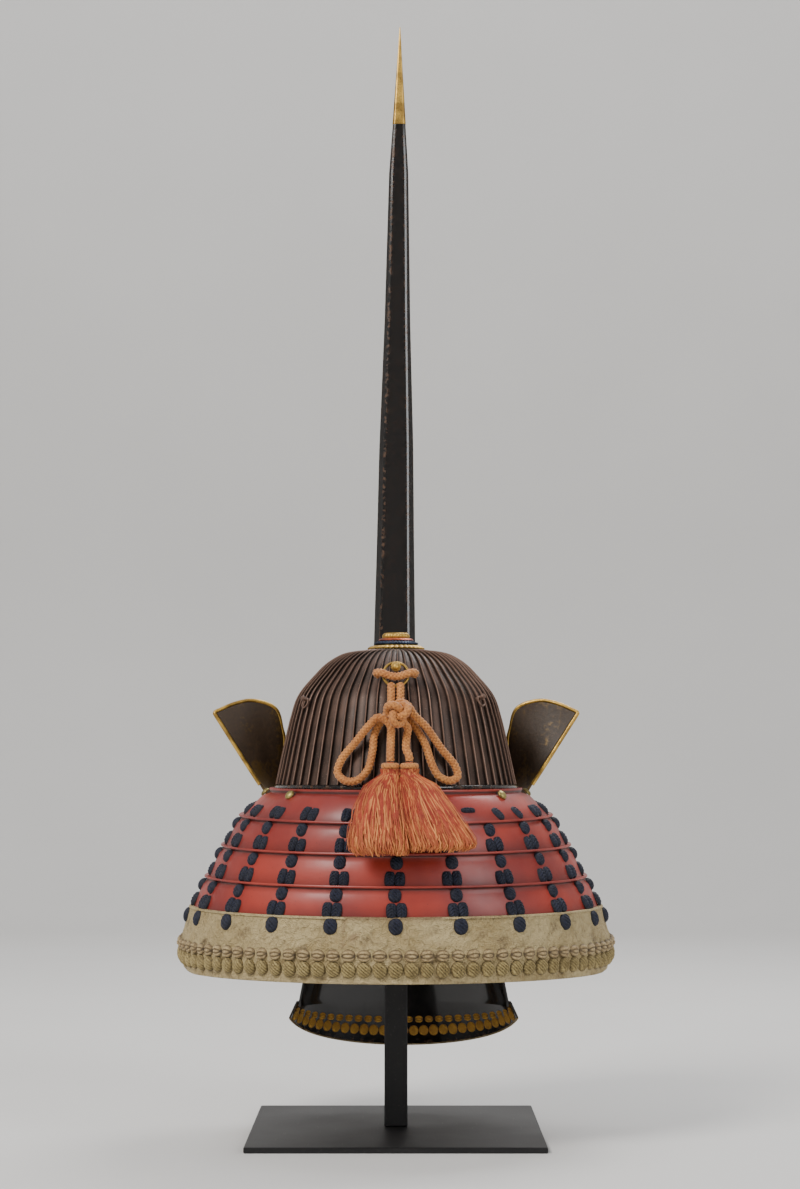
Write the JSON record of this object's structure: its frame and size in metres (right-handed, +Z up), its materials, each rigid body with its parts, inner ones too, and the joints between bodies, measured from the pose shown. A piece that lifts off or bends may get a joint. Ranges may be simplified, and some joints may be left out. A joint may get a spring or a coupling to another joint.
{
  "type": "kabuto samurai helmet on display stand",
  "caption": "Ribbed iron helmet with laced red neck guard, side flaps, tasselled cord, tall crest and throat guard on a plain post stand.",
  "frame": {"origin": "middle of the stand plate's underside, on the surface it stands on", "axes": "+Z up, +Y towards the helmet's front, -Y towards the neck guard's back, +X to the wearer's right as seen from the back"},
  "size_m": [0.3924, 0.3461, 1.052],
  "materials": {
    "russet_iron": "russet brown patinated iron, low sheen",
    "black_lacquer": "polished black lacquer, worn brown at the edges",
    "aged_gilt": "worn gilt",
    "blue_bead": "dark blue-grey beading",
    "copper": "red copper",
    "orange_silk": "faded orange braided silk",
    "red_silk": "brick red silk fringe with faded orange ends",
    "red_lacquer": "glossy red lacquer with dark specks",
    "cream_leather": "dry wrinkled cream leather",
    "gold_braid": "olive-gold braided knots",
    "navy_silk": "navy blue silk lacing",
    "brown_leather": "dark brown leather with worn gilt patches",
    "black_steel": "matt black, scratched"
  },
  "bodies": {
    "root": {"bowl": "russet_iron", "peak": "russet_iron", "bowl_rim": "black_lacquer", "crest_shaft": "black_lacquer", "chin_plate": "black_lacquer", "throat_lame_1": "black_lacquer", "throat_lame_2": "black_lacquer", "throat_lame_3": "black_lacquer", "throat_plate": "black_lacquer", "finial_petal_ring": "aged_gilt", "finial_cap": "aged_gilt", "crest_socket": "aged_gilt", "crest_tip": "aged_gilt", "ring_stud": "aged_gilt", "cord_ring": "aged_gilt", "lame_pin_1": "aged_gilt", "lame_pin_2": "aged_gilt", "lame_pin_3": "aged_gilt", "lame_pin_4": "aged_gilt", "side_flap_rim_left": "aged_gilt", "side_flap_rim_right": "aged_gilt", "finial_bead_ring": "blue_bead", "finial_collar": "copper", "bow_cord_hitch": "orange_silk", "bow_cord_left": "orange_silk", "bow_cord_right": "orange_silk", "tassel_left": "red_silk", "tassel_right": "red_silk", "lame_1": "red_lacquer", "lame_2": "red_lacquer", "lame_3": "red_lacquer", "lame_4": "red_lacquer", "bottom_plate": "cream_leather", "knot_row_upper": "gold_braid", "knot_row_lower": "gold_braid", "lace_01": "navy_silk", "lace_02": "navy_silk", "lace_03": "navy_silk", "lace_04": "navy_silk", "lace_05": "navy_silk", "lace_06": "navy_silk", "lace_07": "navy_silk", "lace_08": "navy_silk", "lace_09": "navy_silk", "lace_10": "navy_silk", "lace_11": "navy_silk", "lace_12": "navy_silk", "lace_13": "navy_silk", "lace_14": "navy_silk", "lace_15": "navy_silk", "side_flap_left": "brown_leather", "side_flap_right": "brown_leather", "stand_base": "black_steel", "stand_post": "black_steel", "stand_head_rest": "black_steel", "stand_arm": "black_steel"}
  },
  "joints": []
}
